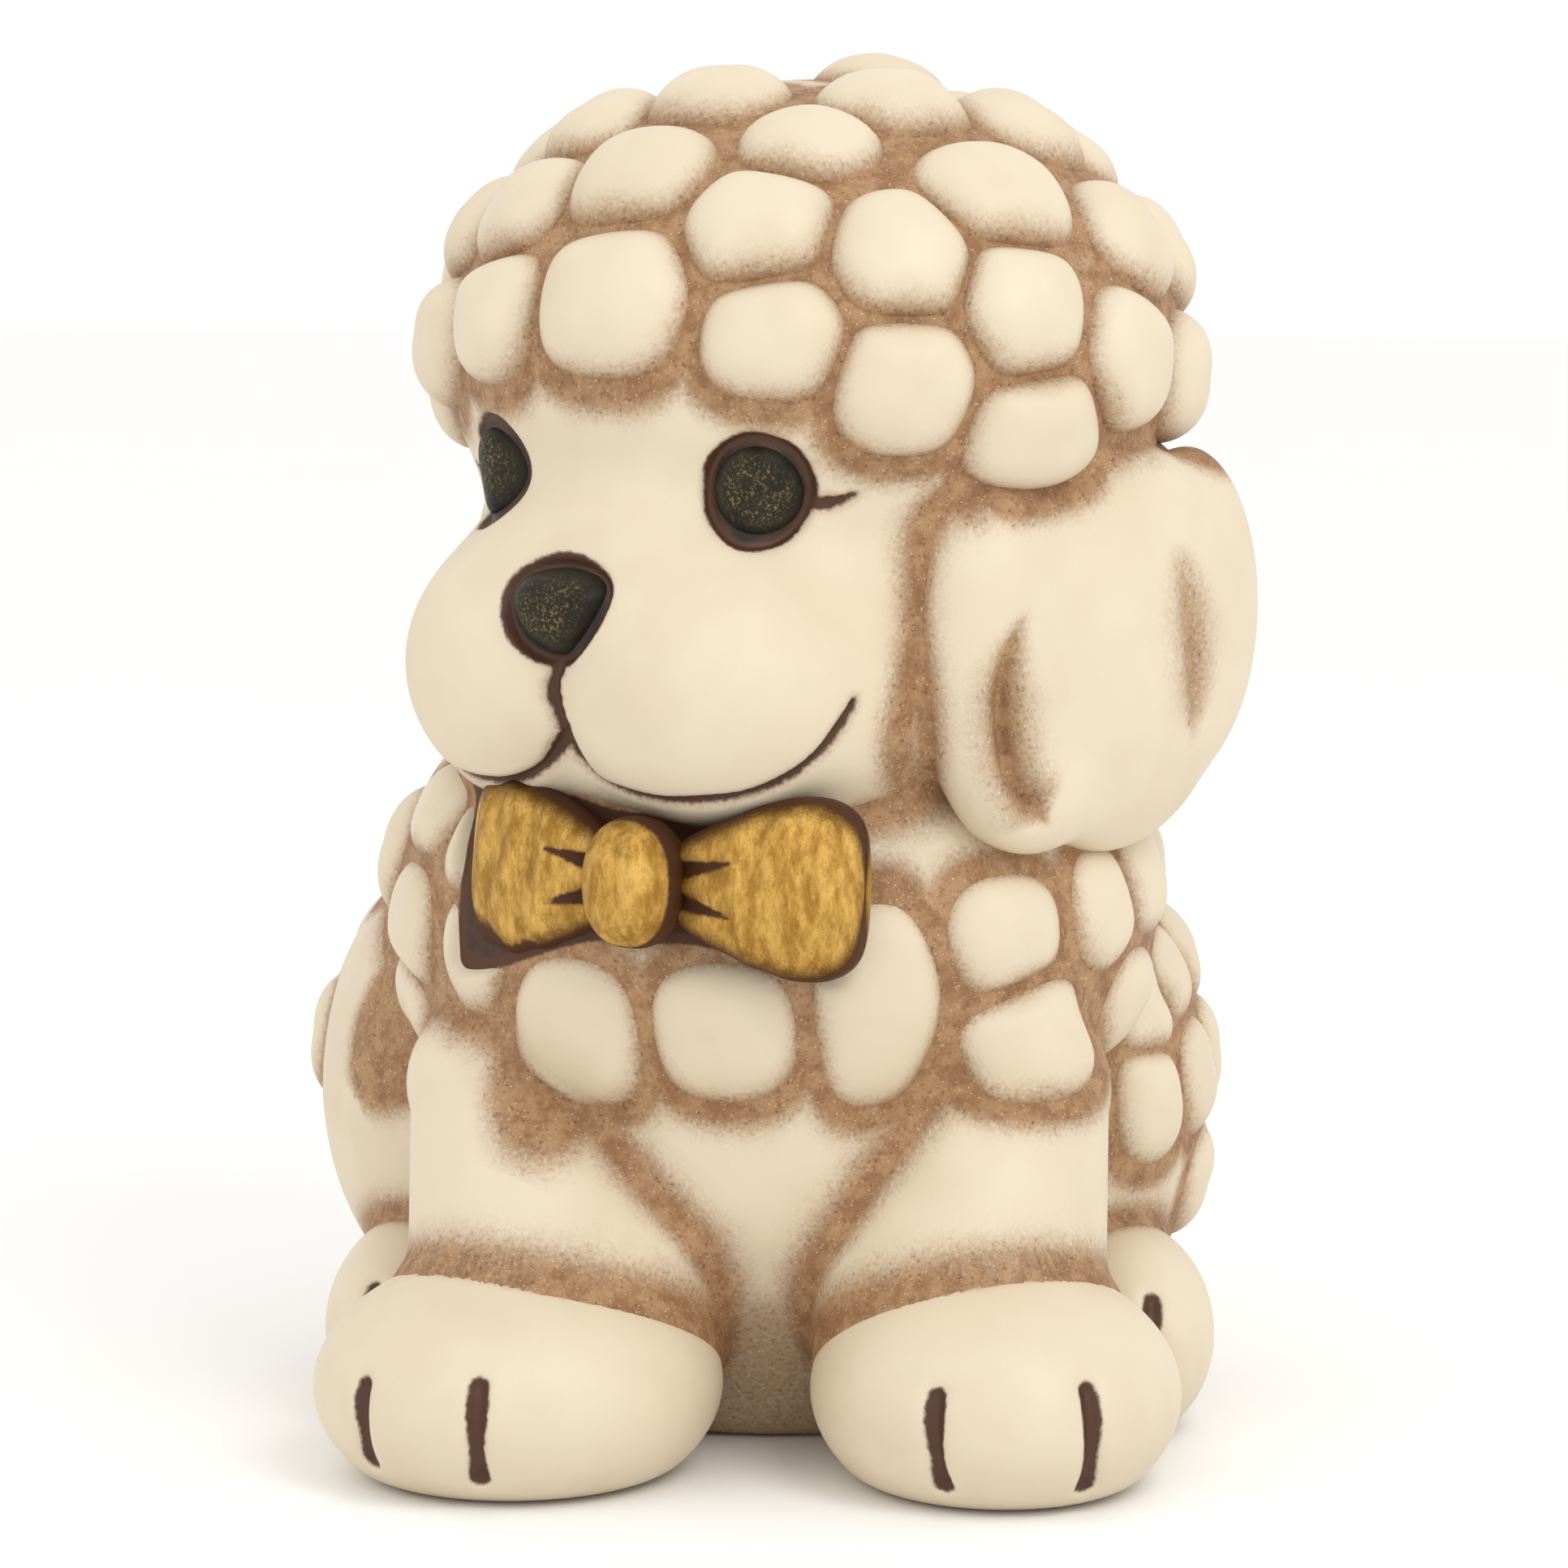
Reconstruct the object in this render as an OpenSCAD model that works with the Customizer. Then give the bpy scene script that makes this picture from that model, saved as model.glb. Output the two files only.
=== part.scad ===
// Ceramic poodle puppy, sitting, with its head turned and a bow tie at its neck.
// Millimetres, +Z up. The dog faces -Y and its left is +X. The origin is on the floor under the body.

/* [Torso] */
// Width of the trunk, under the mane
trunk_w = 50; // [42:1:60]
// Depth of the trunk, chest to rump
trunk_d = 46; // [40:1:56]
// Height of the trunk
trunk_h = 50; // [44:1:58]
// Width of the mane around the chest and shoulders
mane_w = 57; // [48:1:68]
// Depth of the mane
mane_d = 51; // [43:1:61]
// Height of the mane
mane_h = 44; // [38:1:50]
// Thickness of the clay wall of the hollow castings
wall = 4; // [3:0.5:5]
// Drain hole in the underside
drain_d = 12; // [9:0.5:14]
// Vent between the torso and the head
vent_d = 3; // [2:0.5:3.5]

/* [Head] */
// Turn of the head towards the dog's right, in degrees
head_turn = 33; // [0:1:40]
// Width of the cranium, under the curls
cranium_w = 52; // [44:1:62]
// Depth of the cranium
cranium_d = 50; // [43:1:60]
// Height of the cranium
cranium_h = 34; // [29:1:41]
// Width of the face
face_w = 45; // [38:1:52]
// Depth of the face
face_d = 42; // [36:1:50]
// Height of the face
face_h = 39; // [34:1:46]
// Width of one cheek of the muzzle
cheek_w = 23; // [19:0.5:27]
// Depth of one cheek
cheek_d = 24; // [20:0.5:28]
// Height of one cheek
cheek_h = 21.6; // [18:0.5:26]
// Width of the chin
chin_w = 19; // [15:0.5:23]
// Length of an ear, front to back
ear_l = 32; // [27:1:38]
// Thickness of an ear
ear_t = 14; // [11:0.5:17]
// Height of an ear
ear_h = 30; // [25:1:36]

/* [Eyes and nose] */
// Diameter of an eye
eye_d = 6.4; // [5:0.1:8]
// Angle of each eye from the middle of the face
eye_angle = 30; // [26:1:36]
// Width of the nose
nose_w = 7.6; // [6:0.1:9]
// Height of the nose
nose_h = 6.6; // [5:0.1:8]

/* [Bow tie] */
// Place of the bow around the neck towards the dog's right, in degrees
bow_turn = 15; // [0:1:30]
// Further turn of the bow about its own knot, in degrees
bow_twist = 8; // [0:1:15]
// Width of the knot
knot_w = 7; // [5.5:0.5:8.5]
// Height of the knot
knot_h = 9; // [7:0.5:11]
// Length of one loop, from the middle of the knot
loop_l = 16; // [13:0.5:19]
// Height of a loop at its outer end
loop_h = 12.4; // [10:0.2:15]
// Thickness of a loop
loop_t = 7; // [5.5:0.5:8.5]

/* [Legs] */
// Width of a foreleg just above the paw
foreleg_w = 22; // [18:0.2:25]
// Width of a foreleg at the shoulder
shoulder_w = 14; // [11:0.2:17]
// Height of the top of a foreleg
foreleg_h = 34; // [29:1:39]
// Width of a forepaw
forepaw_w = 25.6; // [21:0.2:29]
// Length of a forepaw
forepaw_l = 30; // [25:1:35]
// Height of a forepaw above the floor
forepaw_h = 15.5; // [13:0.5:18]
// Turn of a forepaw outwards, in degrees
forepaw_splay = 18; // [5:1:26]
// Depth of a haunch, front to back
haunch_d = 34; // [28:1:40]
// Height of a haunch
haunch_h = 36; // [30:1:42]
// Stand-out of a haunch from the trunk
haunch_out = 9; // [7:0.5:11]
// Width of a hind paw
hind_paw_w = 14; // [12:0.5:17]
// Length of a hind paw
hind_paw_l = 22; // [18:1:26]
// Height of a hind paw above the floor
hind_paw_h = 15; // [12:0.5:18]

/* [Tail] */
// Diameter of the tail
tail_d = 13; // [10:0.5:16]
// Height of the tail
tail_h = 20; // [16:1:24]

/* [Curls] */
// Stand-out of a curl on the head
head_curl_t = 3.5; // [2.5:0.1:4.2]
// Stand-out of a curl on the body
body_curl_t = 2.4; // [1.6:0.1:3]
// Share of each curl's room that the curl fills
curl_fill = 0.84; // [0.7:0.01:0.88]

/* [Hidden] */

smooth = 240;
curl_smooth = 96;
big = 200;

clay = [0.94, 0.89, 0.78];
gold = [0.75, 0.59, 0.28];
black = [0.18, 0.16, 0.13];

// Torso: the trunk stands on the floor and the mane wraps its upper half
trunk_r = [trunk_w / 2, trunk_d / 2, trunk_h * 0.58];
trunk_c = [0, 8, trunk_h - trunk_r.z];
mane_r = [mane_w, mane_d, mane_h] / 2;
mane_c = [0, 3.5, trunk_h - mane_r.z + 10];

// Head: its own axes have their origin on the neck's axis, and then turn with the head
face_r = [face_w, face_d, face_h] / 2;
face_c = [0, 2, mane_c.z + mane_r.z + 7];
cranium_r = [cranium_w, cranium_d, cranium_h] / 2;
cranium_c = [0, 5, face_c.z + 12.5];
cheek_r = [cheek_w, cheek_d, cheek_h] / 2;
cheek_c = [7, face_c.y - face_r.y + 4, face_c.z - 9.5];
chin_r = [chin_w / 2, 8, 5.5];
chin_c = [0, cheek_c.y + 1.5, cheek_c.z - cheek_r.z + 4.5];

// Ears: each hangs from under the brow and flares out towards its back edge
ear_r = [ear_t, ear_l, ear_h] / 2;
ear_c = [face_r.x + 1.5, 6.5, face_c.z - 6];
ear_flare = 12;

// Eyes and nose
eye_lift = 13;
eye_bulge = 2.2;
nose_r = [nose_w / 2, 3.4, nose_h / 2];
nose_c = [0, cheek_c.y - cheek_r.y + 2, cheek_c.z + 6.2];

// Bow: the middle of the knot sits on the mane, and the loops sweep back around it
bow_rise = 14;
bow_lean = 10;
bow_out = 1.6;
loop_sweep = 16;

// Legs
foreleg_foot = 5;
foreleg_c = [trunk_r.x * 0.54, mane_c.y - mane_r.y + 9.5, foreleg_foot];
shoulder_c = [foreleg_c.x + 6, foreleg_c.y, foreleg_h - shoulder_w / 2];
foreleg_axis = norm(shoulder_c - foreleg_c);
foreleg_lean = atan2(shoulder_c.x - foreleg_c.x, shoulder_c.z - foreleg_c.z);
forepaw_r = [forepaw_w / 2, forepaw_l / 2, forepaw_h * 0.58];
forepaw_c = [foreleg_c.x + 3.7, foreleg_c.y - 6.5, forepaw_h - forepaw_r.z];
haunch_r = [haunch_out + 3.5, haunch_d / 2, haunch_h / 2];
haunch_c = [trunk_r.x - 3.7, 11.6, haunch_r.z + 5];
hind_paw_r = [hind_paw_w / 2, hind_paw_l / 2, hind_paw_h * 0.53];
hind_paw_c = [haunch_c.x + 3, 0, hind_paw_h - hind_paw_r.z];

// Tail: it stands against the rump
tail_r = [tail_d / 2, tail_d / 2, tail_h / 2];
tail_c = [0, trunk_c.y + trunk_r.y, tail_r.z - 2];

// Curls: each is [turn, rise, width, height]. The turn runs from the front towards the dog's left and
// the rise from the middle of the form that carries the curl, both in degrees.
hair_turn = 2;
brow_row = [
    [-70, -13, 11, 9], [-48, 1, 10.5, 9.5], [-25, 9, 9.6, 9.4], [0, 15, 12.4, 10.6],
    [28, 7.5, 9.8, 8.2], [48, -3, 9.8, 9.4], [71, -15, 11.6, 8.6],
];
side_rows = [
    [-94, -3, 9.6, 10], [-75, 15, 9.6, 10.5], [-54, 26, 9.4, 9.4], [-32, 33, 9.6, 9.4],
    [24, 33, 10.4, 9.6], [49, 26, 10, 10.2], [69, 13, 9.6, 10.2], [91, 0, 9.6, 10],
];
crown_rows = [
    [-6, 44, 11, 9.6], [33, 54, 9.4, 8.6], [73, 39, 11.6, 10], [103, 26, 9.6, 9.6],
    [-49, 55, 10, 9], [-80, 42, 11, 10], [-104, 23, 9.6, 9.6], [-15, 70, 10.5, 8.6],
    [70, 68, 10.4, 9.4], [113, 55, 10, 9.6], [-118, 57, 10, 9.6], [155, 77, 8.6, 8.4],
];
back_rows = [
    [142, 43, 9.6, 9.6], [173, 50, 9.6, 9.4], [207, 46, 9.6, 9.6],
    for (turn = [127:24:223]) [turn, 20, 10, 9.6],
];
nape_rows = [
    for (turn = [115:22:247]) [turn, -7, 9.6, 9.2],
    for (turn = [145:24:217]) [turn, -31, 9, 8],
];
chest_row = [
    [-28, -17, 9.5, 10.5], [-4, -15, 9.8, 9.5], [19, -10, 8.5, 14], [40, 2, 9, 8],
    [43, -21, 10, 9], [28, 17, 11, 4.5], [-47, -4, 6, 9], [-50, 17, 6, 7],
];
shoulder_left_row = [
    [62, 4, 7, 8.5], [79, 9, 7.5, 10], [75, -17, 7.6, 9], [94, -14, 7.6, 9], [98, 9, 7.6, 9],
];
shoulder_right_row = [
    [-67, -1, 7, 9], [-66, 22, 8, 7], [-75, -21, 7.6, 9], [-94, -14, 7.6, 9], [-88, 10, 8.4, 9],
];
withers_rows = [
    for (turn = [118:20.6:242]) [turn, 32, 8.6, 9],
    for (turn = [108:20.5:252]) [turn, 8, 9.4, 9],
    for (turn = [118:20.6:242]) [turn, -14, 9.2, 8],
];
haunch_rows = [
    [40, 26, 6.5, 7], [40, 3, 7, 8.5],
    [62, 34, 7, 7], [92, 38, 7.5, 8], [122, 34, 7, 8],
    [72, 6, 7, 8.5], [97, 9, 7, 8.5], [121, 5, 7.5, 8.5], [146, 6, 7.5, 8.5],
    [84, -24, 7, 8], [112, -24, 7.5, 8], [140, -24, 7.5, 8],
];
rump_rows = [
    for (turn = [150:20:210]) [turn, 15, 8, 8],
    for (turn = [160:20:200]) [turn, -3, 8, 8],
];
tail_rows = [
    [180, 58, 5.6, 5], [124, 32, 5.2, 5.2], [180, 22, 5.6, 5.2], [236, 32, 5.2, 5.2],
    [150, -12, 5, 5.4], [210, -12, 5, 5.4],
];

// An ellipsoid with true curved faces
module ellipsoid(centre, radii, steps = smooth)
    translate(centre) scale([radii.x, radii.y, radii.z] / radii.z) sphere(radii.z, $fn = steps);

// An ellipsoid at the origin with its poles on the Y axis, clear of a surface that cuts it along XZ
module bump(radii, steps = smooth)
    scale([radii.x, radii.y, radii.z] / radii.z) rotate([90, 0, 0]) sphere(radii.z, $fn = steps);

// The same on both sides
module pair() {
    children();
    mirror([1, 0, 0]) children();
}

// What is drawn for the dog's left also serves for its right
module on_right(right) mirror([right ? 1 : 0, 0, 0]) children();

module turned_head() rotate([0, 0, -head_turn]) children();

module on_chest()
    on_surface(mane_c, mane_r, -bow_turn, bow_rise)
        rotate([bow_lean, 0, -bow_twist]) translate([0, -bow_out, 0]) children();

// Everything stands on the floor
module above_floor()
    difference() {
        children();
        translate([-big / 2, -big / 2, -big]) cube(big);
    }

// Puts a child on an ellipsoid, with the child's -Y axis pointing straight out of it
module on_surface(centre, radii, turn, rise) {
    out = [sin(turn) * cos(rise), -cos(turn) * cos(rise), sin(rise)];
    normal = [out.x / radii.x, out.y / radii.y, out.z / radii.z];
    lean = asin(normal.z / norm(normal));
    translate(centre + [out.x * radii.x, out.y * radii.y, out.z * radii.z])
        rotate([-lean, 0, atan2(normal.x, -normal.y)]) children();
}

module curls(centre, radii, rows, thick, turn = 0)
    for (curl = rows)
        on_surface(centre, radii, curl[0] + turn, curl[1])
            bump([curl[2] * curl_fill / 2, thick, curl[3] * curl_fill / 2], curl_smooth);

module torso_form()
    above_floor() {
        ellipsoid(trunk_c, trunk_r);
        ellipsoid(mane_c, mane_r);
    }

module head_form() {
    ellipsoid(cranium_c, cranium_r);
    ellipsoid(face_c, face_r);
    pair() ellipsoid(cheek_c, cheek_r);
    ellipsoid(chin_c, chin_r);
}

module ear_form() translate(ear_c) rotate([0, 0, -ear_flare]) ellipsoid([0, 0, 0], ear_r);

// It leans outwards and narrows towards the shoulder
module foreleg_form() {
    translate(foreleg_c) rotate([0, foreleg_lean, 0])
        cylinder(d1 = foreleg_w, d2 = shoulder_w, h = foreleg_axis, $fn = smooth);
    translate(shoulder_c) sphere(d = shoulder_w, $fn = smooth);
}

module forepaw_form()
    above_floor() translate(forepaw_c) rotate([0, 0, forepaw_splay]) ellipsoid([0, 0, 0], forepaw_r);

module haunch_form() ellipsoid(haunch_c, haunch_r);

module hind_paw_form() above_floor() ellipsoid(hind_paw_c, hind_paw_r);

module knot_form() bump([knot_w / 2, loop_t / 2 + 0.6, knot_h / 2]);

module loop_form()
    rotate([0, 0, loop_sweep]) {
        translate([loop_l * 0.62, 0, 0]) bump([loop_l * 0.38, loop_t / 2, loop_h / 2]);
        translate([loop_l * 0.3, 0, 0]) bump([loop_l * 0.34, loop_t / 2 - 0.5, loop_h * 0.34]);
    }

// Hollow casting with a floor drain and a vent up into the head
module torso()
    color(clay) difference() {
        torso_form();
        difference() {
            ellipsoid(trunk_c, trunk_r - [wall, wall, wall]);
            translate([-big / 2, -big / 2, wall - big]) cube(big);
        }
        ellipsoid(mane_c, mane_r - [wall, wall, wall]);
        translate([0, trunk_c.y, -wall]) cylinder(d = drain_d, h = trunk_r.z, $fn = smooth);
        translate([0, mane_c.y, mane_c.z]) cylinder(d = vent_d, h = mane_h, $fn = smooth);
    }

module head()
    color(clay) difference() {
        turned_head() head_form();
        turned_head() {
            ellipsoid(cranium_c, cranium_r - [wall, wall, wall]);
            ellipsoid(face_c, face_r - [wall, wall, wall]);
        }
        torso_form();
        translate([0, mane_c.y, mane_c.z]) cylinder(d = vent_d, h = mane_h, $fn = smooth);
    }

module ear(right)
    color(clay) difference() {
        turned_head() on_right(right) ear_form();
        turned_head() head_form();
        torso_form();
    }

module foreleg(right)
    color(clay) on_right(right) difference() {
        foreleg_form();
        torso_form();
        forepaw_form();
    }

module forepaw(right)
    color(clay) on_right(right) difference() {
        forepaw_form();
        torso_form();
    }

module haunch(right)
    color(clay) on_right(right) difference() {
        above_floor() haunch_form();
        torso_form();
        foreleg_form();
    }

module hind_paw(right)
    color(clay) on_right(right) difference() {
        hind_paw_form();
        haunch_form();
        foreleg_form();
        forepaw_form();
        torso_form();
    }

module tail()
    color(clay) above_floor() difference() {
        ellipsoid(tail_c, tail_r);
        torso_form();
    }

module bow_knot()
    color(gold) difference() {
        on_chest() knot_form();
        torso_form();
        turned_head() head_form();
    }

module bow_loop(right)
    color(gold) difference() {
        on_chest() on_right(right) loop_form();
        on_chest() knot_form();
        torso_form();
        turned_head() head_form();
    }

module nose()
    color(black) turned_head() difference() {
        ellipsoid(nose_c, nose_r);
        head_form();
    }

module eye(right)
    color(black) turned_head() on_right(right) difference() {
        on_surface(face_c, face_r, eye_angle, eye_lift)
            bump([eye_d / 2, eye_bulge, eye_d / 2]);
        head_form();
    }

module head_curls(rows)
    color(clay) turned_head() difference() {
        curls(cranium_c, cranium_r, rows, head_curl_t, hair_turn);
        ellipsoid(cranium_c, cranium_r);
        ellipsoid(face_c, face_r);
        pair() ear_form();
    }

module brow_curls() head_curls(brow_row);

module side_curls() head_curls(side_rows);

module crown_curls()
    color(clay) turned_head() difference() {
        curls(cranium_c, cranium_r, crown_rows, head_curl_t, hair_turn);
        ellipsoid(cranium_c, cranium_r);
    }

module back_curls() head_curls(back_rows);

module nape_curls() head_curls(nape_rows);

module chest_curls()
    color(clay) difference() {
        curls(mane_c, mane_r, chest_row, body_curl_t);
        torso_form();
        turned_head() head_form();
        turned_head() ear_form();
        on_chest() pair() loop_form();
        pair() foreleg_form();
    }

module shoulder_curls(rows, right)
    color(clay) difference() {
        curls(mane_c, mane_r, rows, body_curl_t);
        ellipsoid(mane_c, mane_r);
        ellipsoid(trunk_c, trunk_r);
        turned_head() on_right(right) ear_form();
        on_right(right) haunch_form();
    }

module withers_curls()
    color(clay) difference() {
        curls(mane_c, mane_r, withers_rows, body_curl_t);
        torso_form();
        pair() haunch_form();
    }

// The right haunch is smooth in front, so its curls start behind its middle
module haunch_curls(right)
    color(clay) on_right(right) difference() {
        curls(haunch_c, haunch_r, [for (curl = haunch_rows) if (!right || curl[0] > 95) curl], body_curl_t);
        haunch_form();
        torso_form();
        hind_paw_form();
    }

module rump_curls()
    color(clay) difference() {
        curls(trunk_c, trunk_r, rump_rows, body_curl_t);
        ellipsoid(trunk_c, trunk_r);
        ellipsoid(mane_c, mane_r);
    }

module tail_curls()
    color(clay) above_floor() difference() {
        curls(tail_c, tail_r, tail_rows, body_curl_t);
        ellipsoid(tail_c, tail_r);
        torso_form();
    }

torso();
head();
ear(false);  // ear_left
ear(true);  // ear_right
foreleg(false);  // foreleg_left
foreleg(true);  // foreleg_right
forepaw(false);  // forepaw_left
forepaw(true);  // forepaw_right
haunch(false);  // haunch_left
haunch(true);  // haunch_right
hind_paw(false);  // hind_paw_left
hind_paw(true);  // hind_paw_right
tail();
bow_knot();
bow_loop(false);  // bow_loop_left
bow_loop(true);  // bow_loop_right
nose();
eye(false);  // eye_left
eye(true);  // eye_right
brow_curls();
side_curls();
crown_curls();
back_curls();
nape_curls();
chest_curls();
shoulder_curls(shoulder_left_row, false);  // shoulder_curls_left
shoulder_curls(shoulder_right_row, true);  // shoulder_curls_right
withers_curls();
haunch_curls(false);  // haunch_curls_left
haunch_curls(true);  // haunch_curls_right
rump_curls();
tail_curls();
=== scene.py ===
import math
import bmesh
import bpy
import numpy as np
from mathutils import Matrix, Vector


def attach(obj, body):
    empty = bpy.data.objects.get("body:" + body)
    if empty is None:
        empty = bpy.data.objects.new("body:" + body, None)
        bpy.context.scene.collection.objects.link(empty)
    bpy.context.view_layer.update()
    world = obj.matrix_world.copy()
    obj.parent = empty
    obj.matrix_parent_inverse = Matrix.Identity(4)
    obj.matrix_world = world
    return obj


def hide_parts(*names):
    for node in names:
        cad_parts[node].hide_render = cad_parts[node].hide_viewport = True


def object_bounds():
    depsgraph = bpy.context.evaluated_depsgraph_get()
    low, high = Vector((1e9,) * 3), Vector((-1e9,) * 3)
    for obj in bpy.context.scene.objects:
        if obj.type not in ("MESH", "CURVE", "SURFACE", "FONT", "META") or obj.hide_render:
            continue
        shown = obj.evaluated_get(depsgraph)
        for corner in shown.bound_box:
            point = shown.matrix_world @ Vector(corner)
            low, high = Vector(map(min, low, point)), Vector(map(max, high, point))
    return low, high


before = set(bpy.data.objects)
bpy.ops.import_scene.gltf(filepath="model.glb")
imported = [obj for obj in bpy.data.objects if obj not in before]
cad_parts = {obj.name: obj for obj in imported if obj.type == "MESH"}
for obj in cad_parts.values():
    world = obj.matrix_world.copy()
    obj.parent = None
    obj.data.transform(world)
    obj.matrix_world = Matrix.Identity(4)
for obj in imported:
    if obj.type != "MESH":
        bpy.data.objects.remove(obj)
cadLow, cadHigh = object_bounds()
unit = (cadHigh.z - cadLow.z) / 100     # the puppy is 100 units tall; every size below is in these units
print("frame loaded, one unit is", round(unit * 1000, 3), "mm")


# small helpers for points, all arrays of rows x, y, z

def vec(*values):
    return np.array(values, float)


def turnZ(degrees):
    a = math.radians(degrees)
    return np.array([[math.cos(a), -math.sin(a), 0], [math.sin(a), math.cos(a), 0], [0, 0, 1]])


def turnX(degrees):
    a = math.radians(degrees)
    return np.array([[1, 0, 0], [0, math.cos(a), -math.sin(a)], [0, math.sin(a), math.cos(a)]])


def turnY(degrees):
    a = math.radians(degrees)
    return np.array([[math.cos(a), 0, math.sin(a)], [0, 1, 0], [-math.sin(a), 0, math.cos(a)]])


def rise(x, start, end):                # smooth 0 to 1
    t = np.clip((x - start) / (end - start), 0, 1)
    return t * t * (3 - 2 * t)


def unitRows(v):
    return v / np.maximum(np.linalg.norm(v, axis=-1, keepdims=True), 1e-12)


def egg(centre, radii, turn=None):      # distance to an egg shape, negative inside
    centre, radii = vec(*centre), vec(*radii)

    def distance(p):
        q = p - centre
        if turn is not None:
            q = q @ turn
        a = np.linalg.norm(q / radii, axis=1)
        b = np.linalg.norm(q / radii ** 2, axis=1)
        return a * (a - 1) / np.maximum(b, 1e-9)
    return distance


def rollOfClay(start, end, startRadius, endRadius, squash=1.0):   # tapered roll with round ends
    start, end = vec(*start), vec(*end)
    along = end - start
    length2 = float(along @ along)

    def distance(p):
        q = p - start
        t = np.clip(q @ along / length2, 0, 1)
        off = q - t[:, None] * along
        off = off * vec(1, 1 / squash, 1)
        return np.linalg.norm(off, axis=1) - startRadius - t * (endRadius - startRadius)
    return distance


def softJoin(fields, blend):            # clay pieces run together with a fillet
    def distance(p):
        total = fields[0](p)
        for field in fields[1:]:
            other = field(p)
            h = np.clip(0.5 + 0.5 * (other - total) / blend, 0, 1)
            total = other + (total - other) * h - blend * h * (1 - h)
        return total
    return distance


def mirrored(field):                    # the same form on the puppy's other side
    return lambda p: field(p * vec(-1, 1, 1))


def slopeOf(field, p, step=0.05):
    g = np.stack([field(p + vec(step, 0, 0)) - field(p - vec(step, 0, 0)),
                  field(p + vec(0, step, 0)) - field(p - vec(0, step, 0)),
                  field(p + vec(0, 0, step)) - field(p - vec(0, 0, step))], 1) / (2 * step)
    return g


def dropOnto(field, p, steps=5):        # slides points down the slope of a form until they lie on it
    for _ in range(steps):
        g = slopeOf(field, p)
        p = p - (field(p) / np.maximum((g * g).sum(1), 1e-6))[:, None] * g
    return p


def dropAlong(field, p, way, steps=6):  # slides points along one direction until they lie on a form
    for _ in range(steps):
        rate = slopeOf(field, p) @ way
        p = p - np.outer(field(p) / np.maximum(rate, 0.25), way)
    return p


def curveThrough(points, perSpan=8):    # smooth line through a few points
    pts = [np.array(q, float) for q in points]
    pts = [2 * pts[0] - pts[1]] + pts + [2 * pts[-1] - pts[-2]]
    out = []
    for i in range(1, len(pts) - 2):
        for k in range(perSpan):
            t = k / perSpan
            a, b, c, d = pts[i - 1], pts[i], pts[i + 1], pts[i + 2]
            out.append(0.5 * (2 * b + (c - a) * t + (2 * a - 5 * b + 4 * c - d) * t ** 2
                              + (3 * b - a - 3 * c + d) * t ** 3))
    return out + [pts[-2]]


def cadPoints(node):
    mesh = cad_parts[node].data
    co = np.zeros(len(mesh.vertices) * 3)
    mesh.vertices.foreach_get("co", co)
    return co.reshape(-1, 3) / unit


def cadCentre(node):
    p = cadPoints(node)
    return (p.min(0) + p.max(0)) / 2


def cadCurls(node):                     # one row of points per separate curl of a node
    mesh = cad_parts[node].data
    p = cadPoints(node)
    welded, where = np.unique(np.round(p, 3), axis=0, return_inverse=True)
    where = where.reshape(-1)
    edges = np.zeros(len(mesh.edges) * 2, int)
    mesh.edges.foreach_get("vertices", edges)
    edges = where[edges.reshape(-1, 2)]
    label = np.arange(len(welded))
    while True:
        low = np.minimum(label[edges[:, 0]], label[edges[:, 1]])
        new = label.copy()
        np.minimum.at(new, edges[:, 0], low)
        np.minimum.at(new, edges[:, 1], low)
        new = new[new]
        if (new == label).all():
            break
        label = new
    return [welded[label == k] for k in np.unique(label) if (label == k).sum() > 20]


def makePiece(name, points, faces, marks, material, nodes):
    mesh = bpy.data.meshes.new(name)
    mesh.from_pydata((points * unit).tolist(), [], faces.tolist() if hasattr(faces, "tolist") else faces)
    for key, values in marks.items():
        mesh.attributes.new(key, "FLOAT", "POINT").data.foreach_set("value", np.asarray(values, np.float32))
    mesh.shade_smooth()
    piece = bpy.data.objects.new(name, mesh)
    bpy.context.collection.objects.link(piece)
    mesh.materials.append(material)
    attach(piece, "root")
    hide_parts(*nodes)
    return piece


ballCache = {}


def ballOf(detail):                     # even directions and the triangles between them
    if detail not in ballCache:
        bm = bmesh.new()
        bmesh.ops.create_icosphere(bm, subdivisions=detail, radius=1)
        dirs = np.array([v.co for v in bm.verts])
        faces = np.array([[v.index for v in f.verts] for f in bm.faces])
        bm.free()
        ballCache[detail] = (unitRows(dirs), faces)
    return ballCache[detail]


def gatherTowards(dirs, pole, strength):   # draws the points closer together around one direction
    pole = pole / np.linalg.norm(pole)
    along = dirs @ pole
    side = unitRows(dirs - along[:, None] * pole)
    half = np.sqrt(np.clip((1 - along) / np.maximum(1 + along, 1e-9), 0, 1e9)) / strength
    angle = 2 * np.arctan(half)
    return unitRows(np.cos(angle)[:, None] * pole + np.sin(angle)[:, None] * side)


def pullToForm(field, centre, dirs, reach, steps=30):   # the first place where each ray leaves the form
    low = np.zeros(len(dirs))
    high = np.full(len(dirs), float(reach))
    open_ = np.ones(len(dirs), bool)
    for k in range(1, steps + 1):
        t = reach * k / steps
        ids = np.nonzero(open_)[0]
        if not len(ids):
            break
        out = field(centre + dirs[ids] * t) > 0
        high[ids[out]] = t
        low[ids[~out]] = t
        open_[ids[out]] = False
    for _ in range(12):
        mid = (low + high) / 2
        out = field(centre + dirs * mid[:, None]) > 0
        high = np.where(out, mid, high)
        low = np.where(out, low, mid)
    return centre + dirs * ((low + high) / 2)[:, None]


# where the head looks

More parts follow.
